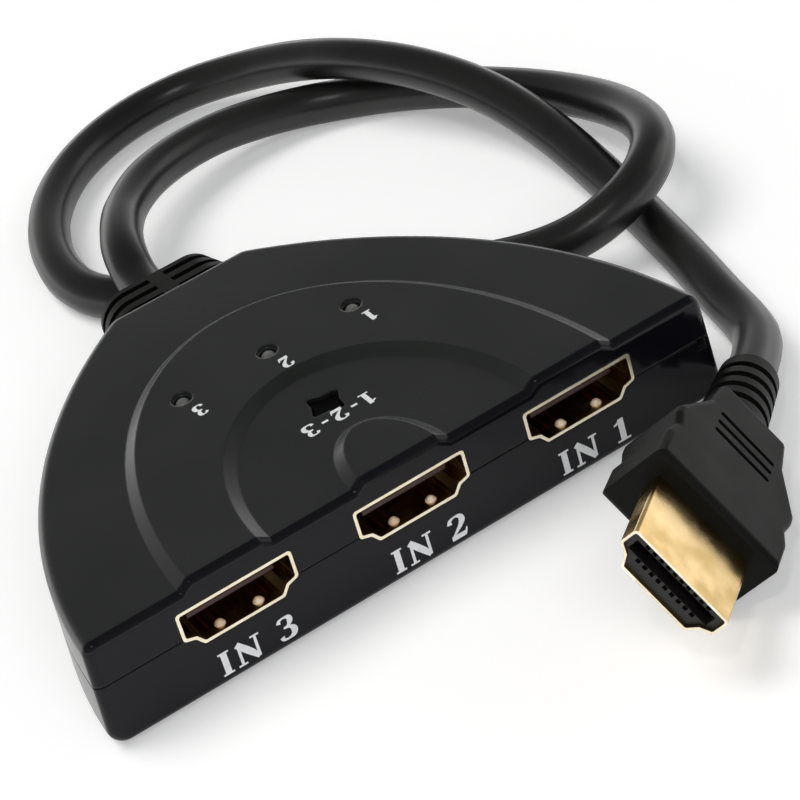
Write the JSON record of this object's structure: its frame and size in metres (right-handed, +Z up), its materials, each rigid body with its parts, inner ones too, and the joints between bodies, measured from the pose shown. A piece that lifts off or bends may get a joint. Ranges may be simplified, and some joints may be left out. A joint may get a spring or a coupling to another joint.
{
  "type": "video switch box",
  "caption": "Bowed video switch box with a row of input sockets in its flat front, stepped rings, lights and a star button on its lid, and a captive looped output cable with a plug.",
  "frame": {"origin": "on the foot of the middle rubber pad, the plane the box stands on, at the centre of the case without its cable relief", "axes": "+X right as seen from the front with the sockets, +Y to the back where the cable leaves, +Z up"},
  "size_m": [0.114, 0.1628, 0.021],
  "materials": {
    "case": "moulded black plastic, satin on the lid and glossier on the front",
    "board": "green solder mask",
    "button": "black moulded",
    "switch_plastic": "black moulded",
    "tinned": "tinned metal",
    "chip": "black package",
    "capacitor": "tan ceramic",
    "resistor": "black ceramic",
    "relief": "satin black moulded rubber",
    "cable": "satin black jacket",
    "core": "coloured insulation",
    "overmold": "matte black overmold",
    "gold": "gold plate",
    "insulator": "black connector plastic",
    "lens": "tinted dome",
    "screw": "zinc plate",
    "pad": "matte black rubber"
  },
  "bodies": {
    "housing": {"bottom_shell": "case", "cable": "cable", "cable_cores": "core", "cable_relief": "relief", "cable_stub": "cable", "capacitors": "capacitor", "case_screw_1": "screw", "case_screw_2": "screw", "case_screw_3": "screw", "case_screw_4": "screw", "chip_legs": "tinned", "circuit_board": "board", "crystal": "tinned", "indicator_led_1": "lens", "indicator_led_2": "lens", "indicator_led_3": "lens", "input_contacts_1": "gold", "input_contacts_2": "gold", "input_contacts_3": "gold", "input_insulator_1": "insulator", "input_insulator_2": "insulator", "input_insulator_3": "insulator", "input_shell_1": "gold", "input_shell_2": "gold", "input_shell_3": "gold", "led_leads": "tinned", "memory_chip": "chip", "memory_legs": "tinned", "plug_contacts": "gold", "plug_insulator": "insulator", "plug_overmold": "overmold", "plug_relief": "overmold", "plug_shell": "gold", "resistors": "resistor", "rubber_pads": "pad", "switch_body": "switch_plastic", "switch_chip": "chip", "switch_cover": "tinned", "switch_legs": "tinned", "top_shell": "case"},
    "button": {"select_button": "button", "switch_stem": "switch_plastic"}
  },
  "joints": [
    {"name": "button_press", "type": "slide", "parent": "housing", "child": "button", "axis": [0, 0, -1], "range_m": [0, 0.0004], "stiffness_N_per_m": 600, "springref_m": -0.0005}
  ]
}
